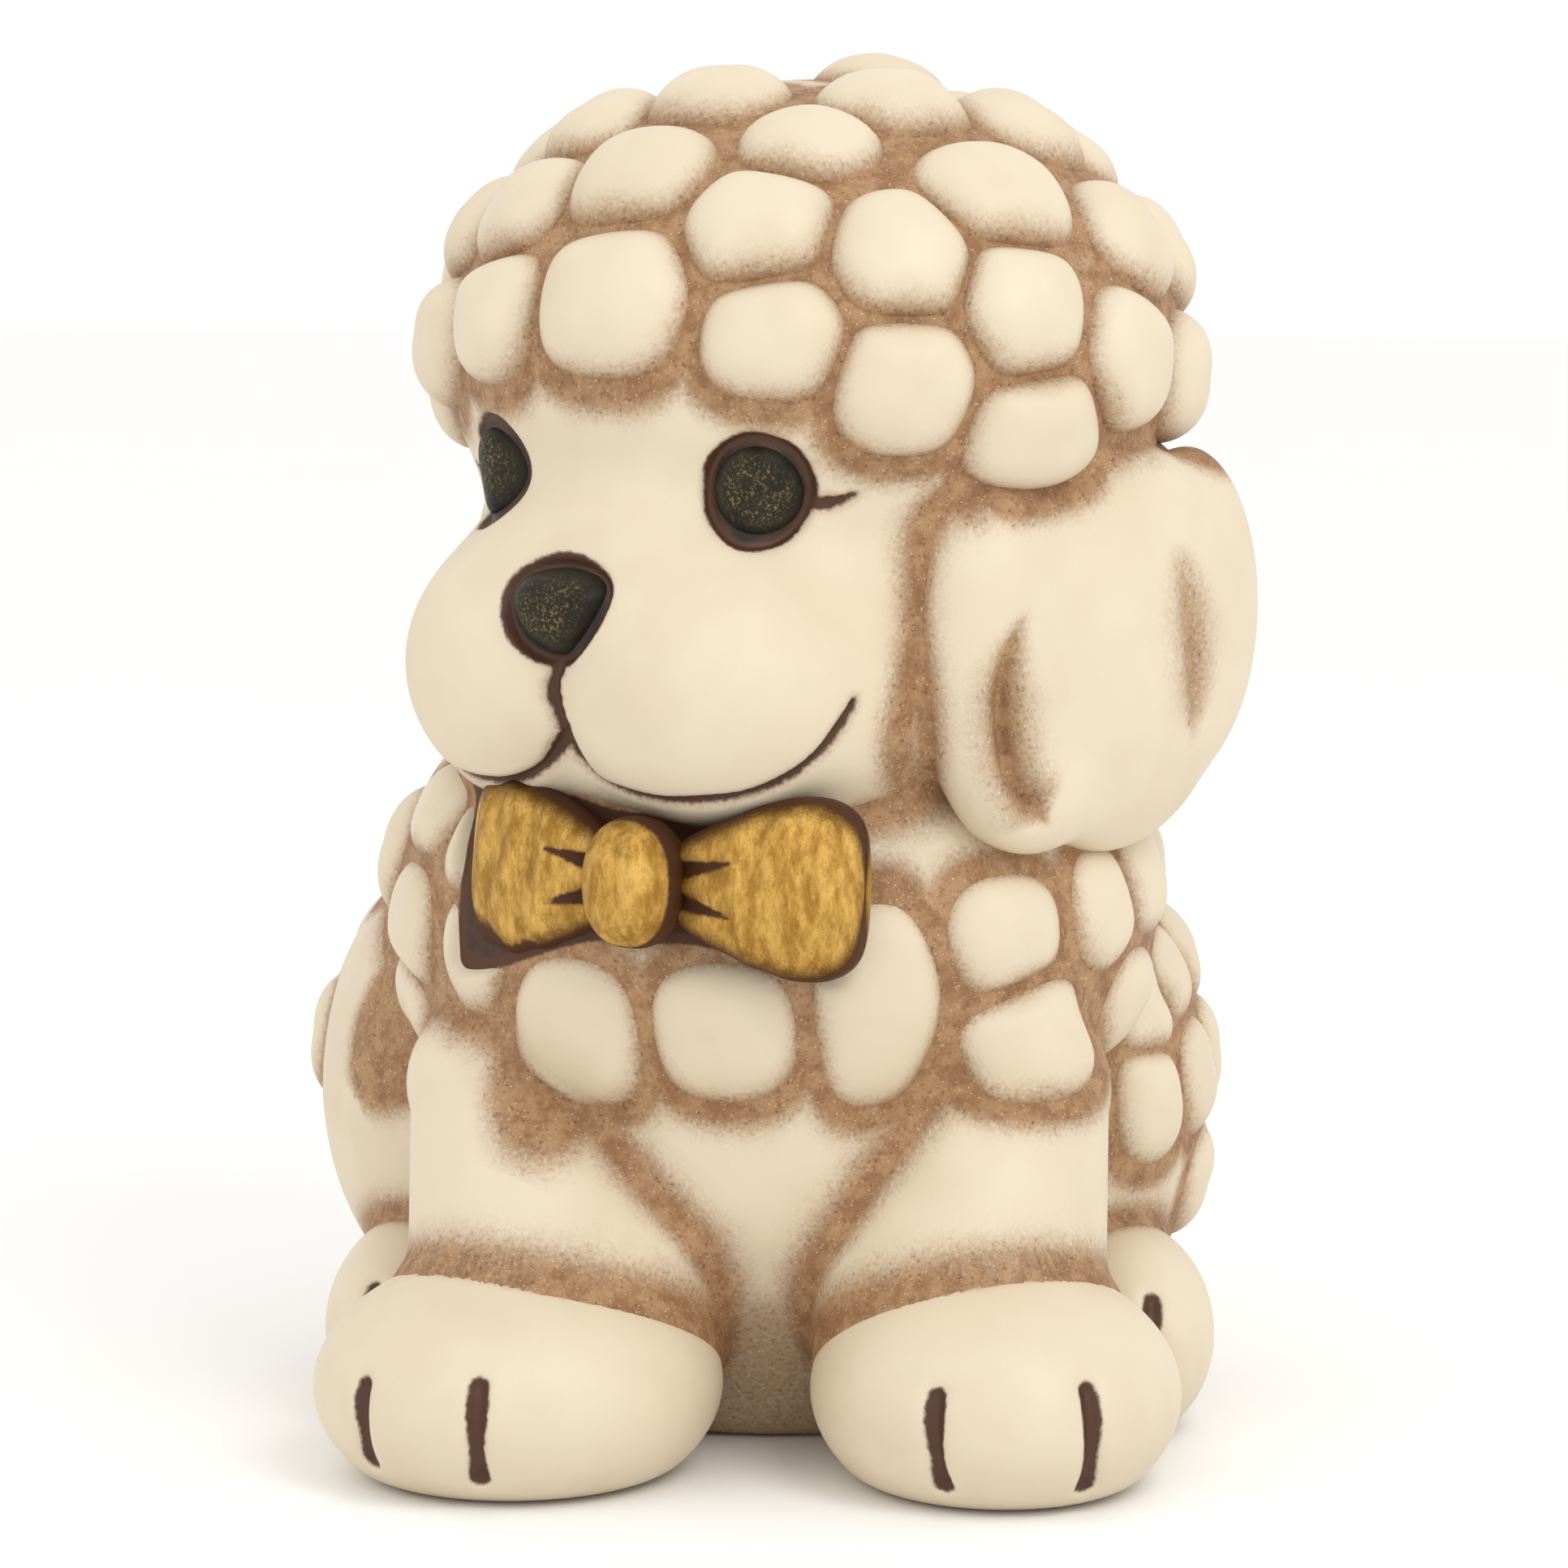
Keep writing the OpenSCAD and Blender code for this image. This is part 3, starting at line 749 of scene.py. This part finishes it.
def bowLoop(side, name, node):
    s = bowShape
    across, around = 110, 120
    v = np.linspace(0.004, 0.996, across)
    a = np.linspace(0, 2 * math.pi, around, endpoint=False)
    v, a = np.meshgrid(v, a, indexing="ij")
    v, a = v.ravel(), a.ravel()
    f = 0.5 - 0.5 * np.cos(math.pi * v)
    u = s["inner"] + (s["outer"] - s["inner"]) * f
    t = rise(f, -0.15, 0.9)
    closing = np.sin(math.pi * v)
    high = (s["innerHalf"] + (s["outerHalf"] - s["innerHalf"]) * t) * closing ** 0.34
    thick = (s["innerThick"] + (s["outerThick"] - s["innerThick"]) * t) * closing ** 0.6
    z = high * power(np.sin(a), 0.8)
    y = -thick * power(np.cos(a), 0.85)
    span = np.clip((u - s["inner"]) / s["pleatReach"], 0, 1)
    pleat = np.full(len(u), 9.0)
    for slant in (0.36, -0.40):
        line = (slant * (1.9 + 2.6 * span)) * 1.15
        width = 0.75 * (1 - span) ** 0.7 + 0.03
        d = np.abs(z - line) - width
        d = np.where(span < 1, d, 9)
        pleat = np.minimum(pleat, d)
    front = y < 0
    dent = np.where(front, 1.1 * np.exp(-(np.maximum(pleat + 0.5, 0) / 0.55) ** 2) * (1 - span), 0)
    y = y + dent
    ripple = 0.16 * np.cos(u * 1.9 + 1.2 * np.sin(z * 0.6)) * rise(u, 5, 9) * front
    y = y + ripple
    x = u
    angle = math.radians(s["sweep"])
    local = np.stack([x * math.cos(angle), y + x * math.sin(angle), z], 1)
    local[:, 0] *= side
    points = bowMiddle + local @ toBow.T
    ends = [points[:around].mean(0), points[-around:].mean(0)]
    faces = []
    for i in range(across - 1):
        for j in range(around):
            n = (j + 1) % around
            q = (i * around + j, i * around + n, (i + 1) * around + n, (i + 1) * around + j)
            faces.append((q[0], q[1], q[2]))
            faces.append((q[0], q[2], q[3]))
    base = len(points)
    for j in range(around):
        n = (j + 1) % around
        faces.append((base, n, j))
        faces.append((base + 1, (across - 1) * around + j, (across - 1) * around + n))
    points = np.vstack([points, ends])
    faces = np.array(faces)
    if side > 0:
        faces = faces[:, ::-1]
    line = np.where(front, pleat, 9) + 0.12
    line = np.minimum(line, (u - s["inner"]) * 0.5 - 0.35)
    line = np.minimum(line, high - np.abs(z) - s["rim"])
    line = np.minimum(np.append(line, [0, 3]), maneSkin(points) - 0.55)
    # painted shade: the gold darkens along the loop's top and bottom rims (edge) and near the knot where the pleats
    # gather
    edge = np.append(np.exp(-((high * 1.0 - np.abs(z)) / 1.5) ** 2) * 0.75, [1, 1])
    washAndPaintedShade = np.maximum(edge, np.append(np.exp(-(span / 0.35) ** 2) * 0.55, [1, 1]))
    return makePiece(name, points, faces, {"washAndPaintedShade": washAndPaintedShade, "line": line}, gold, [node])


def bowKnot():
    s = bowShape
    dirs, faces = ballOf(6)
    size = vec(*s["knotHalf"])
    local = power(dirs, 0.86) * size
    local[:, 1] += 0.22 * np.exp(-(local[:, 0] / 0.5) ** 2) * (dirs[:, 1] < 0)
    points = bowMiddle + local @ toBow.T
    points = points + toBow @ vec(0, -1.0, 0)
    line = np.minimum(maneSkin(points) - 0.9, (1 - np.hypot(dirs[:, 0], dirs[:, 2])) * 9 - s["rim"])
    # painted shade: the knot darkens towards its rim
    rim = np.exp(-((1 - np.hypot(dirs[:, 0], dirs[:, 2])) / 0.07) ** 2)
    return makePiece("bowKnot", points, faces, {"washAndPaintedShade": rim * 0.8, "line": np.minimum(line, 3)}, gold,
                     ["bow_knot"])


bowLoop(1, "bowLoopLeft", "bow_loop_left")
bowLoop(-1, "bowLoopRight", "bow_loop_right")
bowKnot()
print("bow tied")


# lines cut into the clay and filled with dark paint: points, half width, depth, and how much each end tapers
faceLines = {
    "philtrum": ([(0.2, -25.4, 59.2), (-0.3, -25.1, 57.2), (-0.1, -24.8, 55.6), (0.2, -24.2, 54.0)], 0.42, 0.6, 0.0),
    "mouthLeft": ([(0.2, -24.2, 54.0), (0.7, -23.1, 52.1), (2.2, -22.7, 50.6), (5.3, -23.3, 49.7), (8.6, -23.0, 49.4),
                   (11.4, -22.0, 49.6), (13.8, -20.5, 50.3), (16.0, -19.0, 51.4), (17.8, -17.6, 53.2),
                   (18.8, -16.4, 55.2), (19.2, -15.4, 56.8)], 0.40, 0.75, 0.4),
    "mouthRight": ([(0.2, -24.2, 54.0), (-1.0, -23.7, 52.4), (-2.5, -23.4, 51.1), (-5.3, -23.2, 49.7),
                    (-8.6, -23.0, 49.4), (-11.4, -22.0, 49.6), (-13.8, -20.5, 50.3), (-16.0, -19.0, 51.4),
                    (-17.8, -17.6, 53.2), (-18.8, -16.4, 55.2), (-19.2, -15.4, 56.8)], 0.40, 0.75, 0.4),
    "lashLeft": ([(14.4, -15.1, 70.5), (15.4, -14.4, 70.4), (16.5, -13.6, 70.6), (17.3, -12.9, 71.1)], 0.42, 0.35, 0.7),
    "lashRight": ([(-14.4, -15.1, 70.5), (-15.4, -14.4, 70.4), (-16.5, -13.6, 70.6), (-17.3, -12.9, 71.1)],
                  0.42, 0.35, 0.7),
}
eyeShape = {"ring": 4.0, "grooveAt": 3.6, "grooveWide": 0.5, "grooveDeep": 0.7, "domeRadius": 3.3,
            "bulge": 1.5, "high": 1.0}
noseShape = {"wide": 3.85, "high": 3.1, "bulge": 2.2, "ringGap": 0.9}
toeLines = {
    "forepawRight": [[(-27.2, -30.1, 8.8), (-27.5, -30.6, 5.6), (-27.1, -29.5, 2.2)],
                     [(-18.2, -33.2, 9.5), (-18.4, -34.2, 6.1), (-18.3, -33.0, 2.0)]],
    "forepawLeft": [[(13.8, -32.7, 9.2), (13.6, -33.4, 5.9), (14.1, -32.4, 1.8)],
                    [(24.5, -31.3, 9.4), (25.0, -32.0, 5.7), (24.6, -30.6, 1.8)]],
    "hindPawLeft": [[(28.6, -9.7, 11.2), (28.7, -11.1, 9.2), (29.5, -11.6, 6.6)],
                    [(22.5, -9.9, 11.2), (22.6, -11.4, 9.2), (23.0, -12.0, 6.6)]],
    "hindPawRight": [[(-28.6, -9.7, 11.2), (-28.7, -11.1, 9.2), (-29.5, -11.6, 6.6)],
                     [(-22.5, -9.9, 11.2), (-22.6, -11.4, 9.2), (-23.0, -12.0, 6.6)]],
}
earFolds = {
    "front": [(27.4, -4.8, 63.5), (26.9, -6.0, 61.0), (26.4, -6.7, 58.2), (26.1, -6.6, 55.5), (26.0, -5.9, 52.8),
              (26.2, -5.1, 50.7), (26.6, -4.1, 49.1), (26.9, -2.7, 47.4)],
    "back": [(31.6, 8.4, 67.5), (32.0, 8.9, 63.0), (32.2, 9.2, 60.0), (32.0, 9.7, 56.4), (31.4, 10.4, 52.5)],
}


def nearLine(p, points, taper=0.0):     # distance to a curve, and how far along it, 0 to 1
    line = np.array(curveThrough(points, 6))
    best, along = np.full(len(p), 1e9), np.zeros(len(p))
    low, high = line.min(0) - 4, line.max(0) + 4
    ids = np.nonzero(((p > low) & (p < high)).all(1))[0]
    q = p[ids]
    b_, al = np.full(len(q), 1e9), np.zeros(len(q))
    for k in range(len(line) - 1):
        a, d = line[k], line[k + 1] - line[k]
        t = np.clip((q - a) @ d / max(d @ d, 1e-9), 0, 1)
        dist = np.linalg.norm(q - a - t[:, None] * d, axis=1)
        closer = dist < b_
        b_ = np.where(closer, dist, b_)
        al = np.where(closer, (k + t) / (len(line) - 1), al)
    best[ids], along[ids] = b_, al
    return best, along


def eyeFrame(side):                     # where an eye sits on the face and which way it looks
    q = inHead(cadCentre("eye_left" if side > 0 else "eye_right")[None, :])
    if side < 0:                        # the far eye sits a little closer to the nose
        q = q + vec(0.9, -0.5, 0)
    q = dropOnto(headOwn, q, 8)
    out = unitRows(slopeOf(headOwn, q) * vec(1, 1, 0) + vec(0, 0, 0.06))[0]
    across = unitRows(np.cross(vec(0, 0, 1), out)[None, :])[0]
    return q[0], out, across, np.cross(out, across)


def noseFrame():
    q = inHead(cadCentre("nose")[None, :]) * vec(0, 1, 1)
    q = dropOnto(headOwn, q, 8)
    out = unitRows(slopeOf(headOwn, q))[0] * vec(0, 1, 1)
    out = unitRows((out + vec(0, -0.5, 0))[None, :])[0]
    across = vec(1, 0, 0)
    return q[0], out, across, np.cross(out, across)


def noseOutline(angle):                 # rounded triangle, wide above and pointed below
    s = noseShape
    x, z = np.cos(angle), np.sin(angle)
    total = np.hypot(x / s["wide"], z / s["high"]) ** 3 * 0.55
    for nx, nz, d in ((0, 1, s["high"]), (0.80, -0.60, 0.92 * s["wide"]), (-0.80, -0.60, 0.92 * s["wide"])):
        total += (np.maximum(x * nx + z * nz, 0.02) / d) ** 3 * 0.75
    return total ** (-1 / 3)


leftEye, rightEye, noseSpot = eyeFrame(1), eyeFrame(-1), noseFrame()


def faceMarks(q):                       # cut depth and line distance on the face, in the head's axes
    depth = np.zeros(len(q))
    line = np.full(len(q), 4.0)
    soft = np.zeros(len(q))
    for points, half, deep, taper in faceLines.values():
        d, along = nearLine(q, dropOnto(headOwn, np.array(points), 4))
        wide = half * (1 - taper * rise(along, 0.35, 1.0)) * (0.9 + 0.2 * np.sin(along * 23) * np.sin(along * 9))
        depth = np.maximum(depth, deep * np.exp(-(d / (wide * 1.5)) ** 2) * (1 - 0.6 * taper * rise(along, 0.6, 1)))
        line = np.minimum(line, d - wide)
        soft = np.maximum(soft, 0.45 * np.exp(-(np.maximum(d - wide, 0) / 0.7) ** 2))
    for middle, out, across, up in (leftEye, rightEye):
        r = q - middle
        x, z = r @ across, r @ up
        s = eyeShape
        angle = np.arctan2(z, x)
        d = np.hypot(x, z / s["high"])
        near = np.abs(r @ out) < 4
        uneven = 0.10 * np.sin(angle * 3 + 0.7) + 0.07 * np.sin(angle * 7 + 2)
        depth = np.where(near, np.maximum(depth, s["grooveDeep"] * np.exp(-((d - s["grooveAt"]) / s["grooveWide"]) ** 2)), depth)
        line = np.where(near, np.minimum(line, d - s["ring"] - uneven), line)
    middle, out, across, up = noseSpot
    r = q - middle
    x, z = r @ across, r @ up
    d = np.hypot(x, z) - noseOutline(np.arctan2(z, x))
    near = (r @ out > -4) & (np.hypot(x, z) < 9)
    depth = np.where(near, np.maximum(depth, 0.7 * np.exp(-((d - 0.25) / 0.5) ** 2)), depth)
    line = np.where(near, np.minimum(line, d - noseShape["ringGap"] + 0.15 * np.sin(np.arctan2(z, x) * 3)), line)
    return depth, line, soft


def paintStroke(p, points, wide, strength):     # a soft band of brown along a curve
    d, along = nearLine(p, points)
    return strength * np.exp(-(d / wide) ** 2)


brushMarks = {                          # soft strokes of brown: points, half width, strength
    "head": [([(21.8, -6.2, 70.0), (20.5, -6.9, 66.2), (19.9, -8.0, 62.2), (20.2, -10.2, 57.8), (19.9, -11.1, 53.2),
               (17.7, -7.0, 48.7)], 2.3, 0.95),
             ([(21.8, -6.2, 70.2), (22.7, -2.1, 69.0), (23.5, 3.8, 69.0), (24.2, 8.8, 70.5)], 3.0, 0.95)],
    "earLeft": [([(22.8, -7.0, 70.5), (23.6, -2.1, 72.0), (24.6, 3.8, 73.0), (25.6, 8.8, 73.5)], 2.6, 0.9)],
}


def fusedField(key, neighbours, blend, push=0.5):
    own = forms[key]
    others = [forms[n] for n in neighbours]
    together = softJoin([own] + others, blend)

    def distance(p):
        return together(p) + push * np.maximum(own(p) - blend / 4 - 0.35, 0) ** 2
    return distance


blends = {"torso": 2.4}
leanOn = {                              # what each form touches, and how soft its seam is
    "head": (["earLeft", "earRight", "torso"], 0.9),
    "earLeft": (["head"], 0.9),
    "earRight": (["head"], 0.9),
    "torso": (["forelegLeft", "forelegRight", "haunchLeft", "haunchRight", "tail", "head"], 2.2),
    "forelegLeft": (["torso", "forepawLeft", "forelegRight"], 2.2),
    "forelegRight": (["torso", "forepawRight", "forelegLeft"], 2.2),
    "forepawLeft": (["forelegLeft", "torso"], 1.0),
    "forepawRight": (["forelegRight", "torso"], 1.0),
    "haunchLeft": (["torso", "hindPawLeft", "tail"], 1.2),
    "haunchRight": (["torso", "hindPawRight", "tail"], 1.2),
    "hindPawLeft": (["haunchLeft", "torso"], 0.9),
    "hindPawRight": (["haunchRight", "torso"], 0.9),
    "tail": (["torso", "haunchLeft", "haunchRight"], 1.0),
}
seamFade = {                            # width of the brown left in each seam
    "head": 1.7, "earLeft": 1.6, "earRight": 1.6, "torso": 2.3, "forelegLeft": 1.9, "forelegRight": 1.9,
    "forepawLeft": 0.8, "forepawRight": 0.8, "haunchLeft": 1.8, "haunchRight": 1.8, "hindPawLeft": 1.2,
    "hindPawRight": 1.2, "tail": 1.6,
}
curlHalo = {"head": 1.5, "torso": 1.8, "forelegLeft": 1.6, "forelegRight": 1.6, "earLeft": 1.2, "earRight": 1.2,
            "haunchLeft": 1.5, "haunchRight": 1.5, "tail": 1.5}

shownCentres = {
    "head": (0, 1, 70), "earLeft": (24.5, 6, 61), "earRight": (-24.5, 6, 61), "torso": (0, 4, 31),
    "forelegLeft": (15.8, -13, 25), "forelegRight": (-15.8, -13, 25), "forepawLeft": (17.2, -19, 6),
    "forepawRight": (-17.4, -19, 6), "haunchLeft": (22, 12, 20), "haunchRight": (-23, 12, 20),
    "hindPawLeft": (26, -0.5, 6), "hindPawRight": (-26, -0.5, 6), "tail": (0, 31, 8),
}


def fusedPiece(key, node, detail=7, look=None, gather=1.0):
    neighbours, blend = leanOn[key]
    dirs, faces = ballOf(detail)
    centre = vec(*shownCentres[key])
    if key in ("head", "earLeft", "earRight"):
        centre = fromHead(centre[None, :])[0]
    if look is not None:
        dirs = gatherTowards(dirs, look, gather)
    field = fusedField(key, neighbours, blend)
    points = pullToForm(field, centre, dirs, 46)
    out = unitRows(slopeOf(field, points))
    washAndPaintedShade = np.zeros(len(points))
    depth = np.zeros(len(points))
    line = np.full(len(points), 4.0)
    q = inHead(points)
    for n in neighbours:
        gap = np.maximum(forms[n](points) - blend / 4, 0)
        fade = seamFade[key]
        washAndPaintedShade = np.maximum(washAndPaintedShade, np.exp(-(gap / fade) ** 1.5))
    if key in curlHalo:
        close = headCurls if key in ("head", "earLeft", "earRight") else bodyCurls
        edge = edgeOfCurls(points, close)
        washAndPaintedShade = np.maximum(washAndPaintedShade, np.exp(-(np.maximum(edge - 0.3, 0) / curlHalo[key]) ** 1.6))
    if key == "head":
        depth, line, soft = faceMarks(q)
        washAndPaintedShade = np.maximum(washAndPaintedShade, soft)
    for points3, wide, strength in brushMarks.get(key, []):
        washAndPaintedShade = np.maximum(washAndPaintedShade, paintStroke(q, points3, wide, strength))
    if key in ("earLeft", "earRight"):
        m = q * (vec(1, 1, 1) if key == "earLeft" else vec(-1, 1, 1))
        for fold, deep in (("front", 2.0), ("back", 1.1)):
            d, along = nearLine(m, earFolds[fold])
            shape = np.sin(math.pi * np.clip(along, 0.02, 0.98)) ** 0.5
            if fold == "front":
                shape = rise(along, -0.05, 0.45) * rise(along, 1.03, 0.9)
            depth = np.maximum(depth, deep * np.exp(-(d / 1.1) ** 2) * shape)
            washAndPaintedShade = np.maximum(washAndPaintedShade, np.exp(-(d / (2.3 * shape + 0.2)) ** 1.4))
    for points3 in toeLines.get(key, []):
        d, along = nearLine(points, dropOnto(forms[key], np.array(points3), 6))
        wide = 0.60 + 0.12 * np.sin(along * 7)
        depth = np.maximum(depth, 0.75 * np.exp(-(d / 0.75) ** 2))
        line = np.minimum(line, d - wide)
    if key == "torso":                  # the hollow between the forelegs stays brown
        x, y, z = points.T
        washAndPaintedShade = np.maximum(washAndPaintedShade, 0.6 * rise(z, 15.5, 10.5) * rise(y, 2, -6))
    if key in ("torso", "forelegLeft", "forelegRight"):
        gap = bowField(points)
        washAndPaintedShade = np.maximum(washAndPaintedShade, np.exp(-(np.maximum(gap - 0.6, 0) / 1.3) ** 1.6))
        line = np.minimum(line, gap - 0.75)
    shown = points - out * depth[:, None]
    return makePiece(key, shown, faces, {"washAndPaintedShade": washAndPaintedShade, "line": line}, clay, [node])


pieceNodes = {
    "torso": "torso", "head": "head", "earLeft": "ear_left", "earRight": "ear_right", "forelegLeft": "foreleg_left",
    "forelegRight": "foreleg_right", "forepawLeft": "forepaw_left", "forepawRight": "forepaw_right",
    "haunchLeft": "haunch_left", "haunchRight": "haunch_right", "hindPawLeft": "hind_paw_left",
    "hindPawRight": "hind_paw_right", "tail": "tail",
}
for key, node in pieceNodes.items():
    look = fromHead(vec(0, -1, -0.25)[None, :])[0] if key == "head" else None
    fusedPiece(key, node, 7 if key in ("head", "torso", "earLeft", "forelegLeft", "forelegRight", "forepawLeft",
                                       "forepawRight") else 6, look, 1.9)
print("body and head shaped")


# eyes and nose: black painted beads

def eyeBead(side, name, node):
    middle, out, across, up = leftEye if side > 0 else rightEye
    s = eyeShape
    rings, steps = 40, 96
    r = np.sin(np.linspace(0, 1, rings + 1)[1:] * math.pi / 2)
    r, a = np.meshgrid(r, np.linspace(0, 2 * math.pi, steps, endpoint=False), indexing="ij")
    r = np.concatenate([[0], r.ravel()])
    a = np.concatenate([[0], a.ravel()])
    high = (s["bulge"] + 1.1) * (1 - r ** 2.6) ** 0.55 - 1.1
    local = middle + np.outer(r * np.cos(a) * s["domeRadius"], across) \
        + np.outer(r * np.sin(a) * s["domeRadius"] * s["high"], up)
    lie = dropAlong(headOwn, local, out)
    points = np.vstack([lie + np.outer(high, out), middle - out * 2.4])
    faces = fanFaces(rings, steps)
    return makePiece(name, fromHead(points), faces, {"fleck": np.append(rise(1 - r, 0.05, 0.45), 0)}, black,
                     [node])


def fanFaces(rings, steps):
    faces = []
    bottom = 1 + rings * steps
    for k in range(steps):
        n = (k + 1) % steps
        faces.append((0, 1 + k, 1 + n))
        for r in range(rings - 1):
            a, c = 1 + r * steps, 1 + (r + 1) * steps
            faces += [(a + k, c + k, c + n), (a + k, c + n, a + n)]
        last = 1 + (rings - 1) * steps
        faces.append((last + k, bottom, last + n))
    return np.array(faces)


def noseBead():
    middle, out, across, up = noseSpot
    rings, steps = 44, 120
    r = np.sin(np.linspace(0, 1, rings + 1)[1:] * math.pi / 2)
    r, a = np.meshgrid(r, np.linspace(0, 2 * math.pi, steps, endpoint=False), indexing="ij")
    r = np.concatenate([[0], r.ravel()])
    a = np.concatenate([[0], a.ravel()])
    reach = noseOutline(a) * r
    high = (noseShape["bulge"] + 1.0) * (1 - r ** 2.2) ** 0.55 - 1.0
    local = middle + np.outer(reach * np.cos(a), across) + np.outer(reach * np.sin(a), up)
    lie = dropAlong(headOwn, local, out)
    points = np.vstack([lie + np.outer(high, out), middle - out * 2.6])
    return makePiece("nose", fromHead(points), fanFaces(rings, steps),
                     {"fleck": np.append(rise(1 - r, 0.05, 0.45), 0)}, black, ["nose"])


eyeBead(1, "eyeLeft", "eye_left")
eyeBead(-1, "eyeRight", "eye_right")
noseBead()
print("eyes and nose set")


# the pale floor, the soft light and the camera

studio = {
    "floor": (0.93, 0.93, 0.92),
    "world": 1.05,
    "lensView": (4.0, 8.5),             # turn round the figure and height of the camera, degrees
    "distance": 560,
    "lookAt": (0.96, 0, 47.4),
    "lens": 174.8,
}


def areaLight(name, turn, height, distance, size, power_, colour=(1, 1, 1)):
    data = bpy.data.lights.new(name, "AREA")
    data.shape = "DISK"
    data.size = size * unit
    data.energy = power_
    data.color = colour
    light = bpy.data.objects.new(name, data)
    bpy.context.collection.objects.link(light)
    placeAndAim(light, turn, height, distance, vec(0, 0, 45))
    return light


def placeAndAim(thing, turn, height, distance, target):
    a, e = math.radians(turn), math.radians(height)
    back = vec(math.sin(a) * math.cos(e), -math.cos(a) * math.cos(e), math.sin(e))
    right = vec(math.cos(a), math.sin(a), 0)
    up = np.cross(back, right)
    up = -up if up[2] < 0 else up
    place = (target + back * distance) * unit
    m = np.eye(4)
    m[:3, 0], m[:3, 1], m[:3, 2], m[:3, 3] = right, up, back, place
    thing.matrix_world = Matrix(m.tolist())


def buildStudio():
    s = studio
    m, tree, skin = newFinish("paleFloor")
    place = noiseNode(tree, 60, 2)
    tree.links.new(mixColour(tree, place, s["floor"], (0.945, 0.942, 0.935)), skin.inputs["Base Color"])
    skin.inputs["Roughness"].default_value = 0.9
    size = 900 * unit
    mesh = bpy.data.meshes.new("floor")
    mesh.from_pydata([(-size, -size, 0), (size, -size, 0), (size, size, 0), (-size, size, 0)], [], [(0, 1, 2, 3)])
    mesh.materials.append(m)
    floor = bpy.data.objects.new("floor", mesh)
    bpy.context.collection.objects.link(floor)
    world = bpy.data.worlds.new("softRoom")
    world.use_nodes = True
    world.node_tree.nodes["Background"].inputs["Color"].default_value = (1, 0.995, 0.985, 1)
    world.node_tree.nodes["Background"].inputs["Strength"].default_value = s["world"]
    bpy.context.scene.world = world
    areaLight("keyLight", 40, 45, 420, 220, 0.45)
    areaLight("fillLight", -50, 30, 420, 260, 0.1)
    cameraData = bpy.data.cameras.new("camera")
    cameraData.lens = s["lens"]
    cameraData.sensor_width = 36
    cameraData.clip_start = 0.01
    cameraData.clip_end = 20
    camera = bpy.data.objects.new("camera", cameraData)
    bpy.context.collection.objects.link(camera)
    placeAndAim(camera, *s["lensView"], s["distance"], vec(*s["lookAt"]))
    bpy.context.scene.camera = camera
    bpy.context.scene.view_settings.view_transform = "Standard"


buildStudio()
print("studio ready")
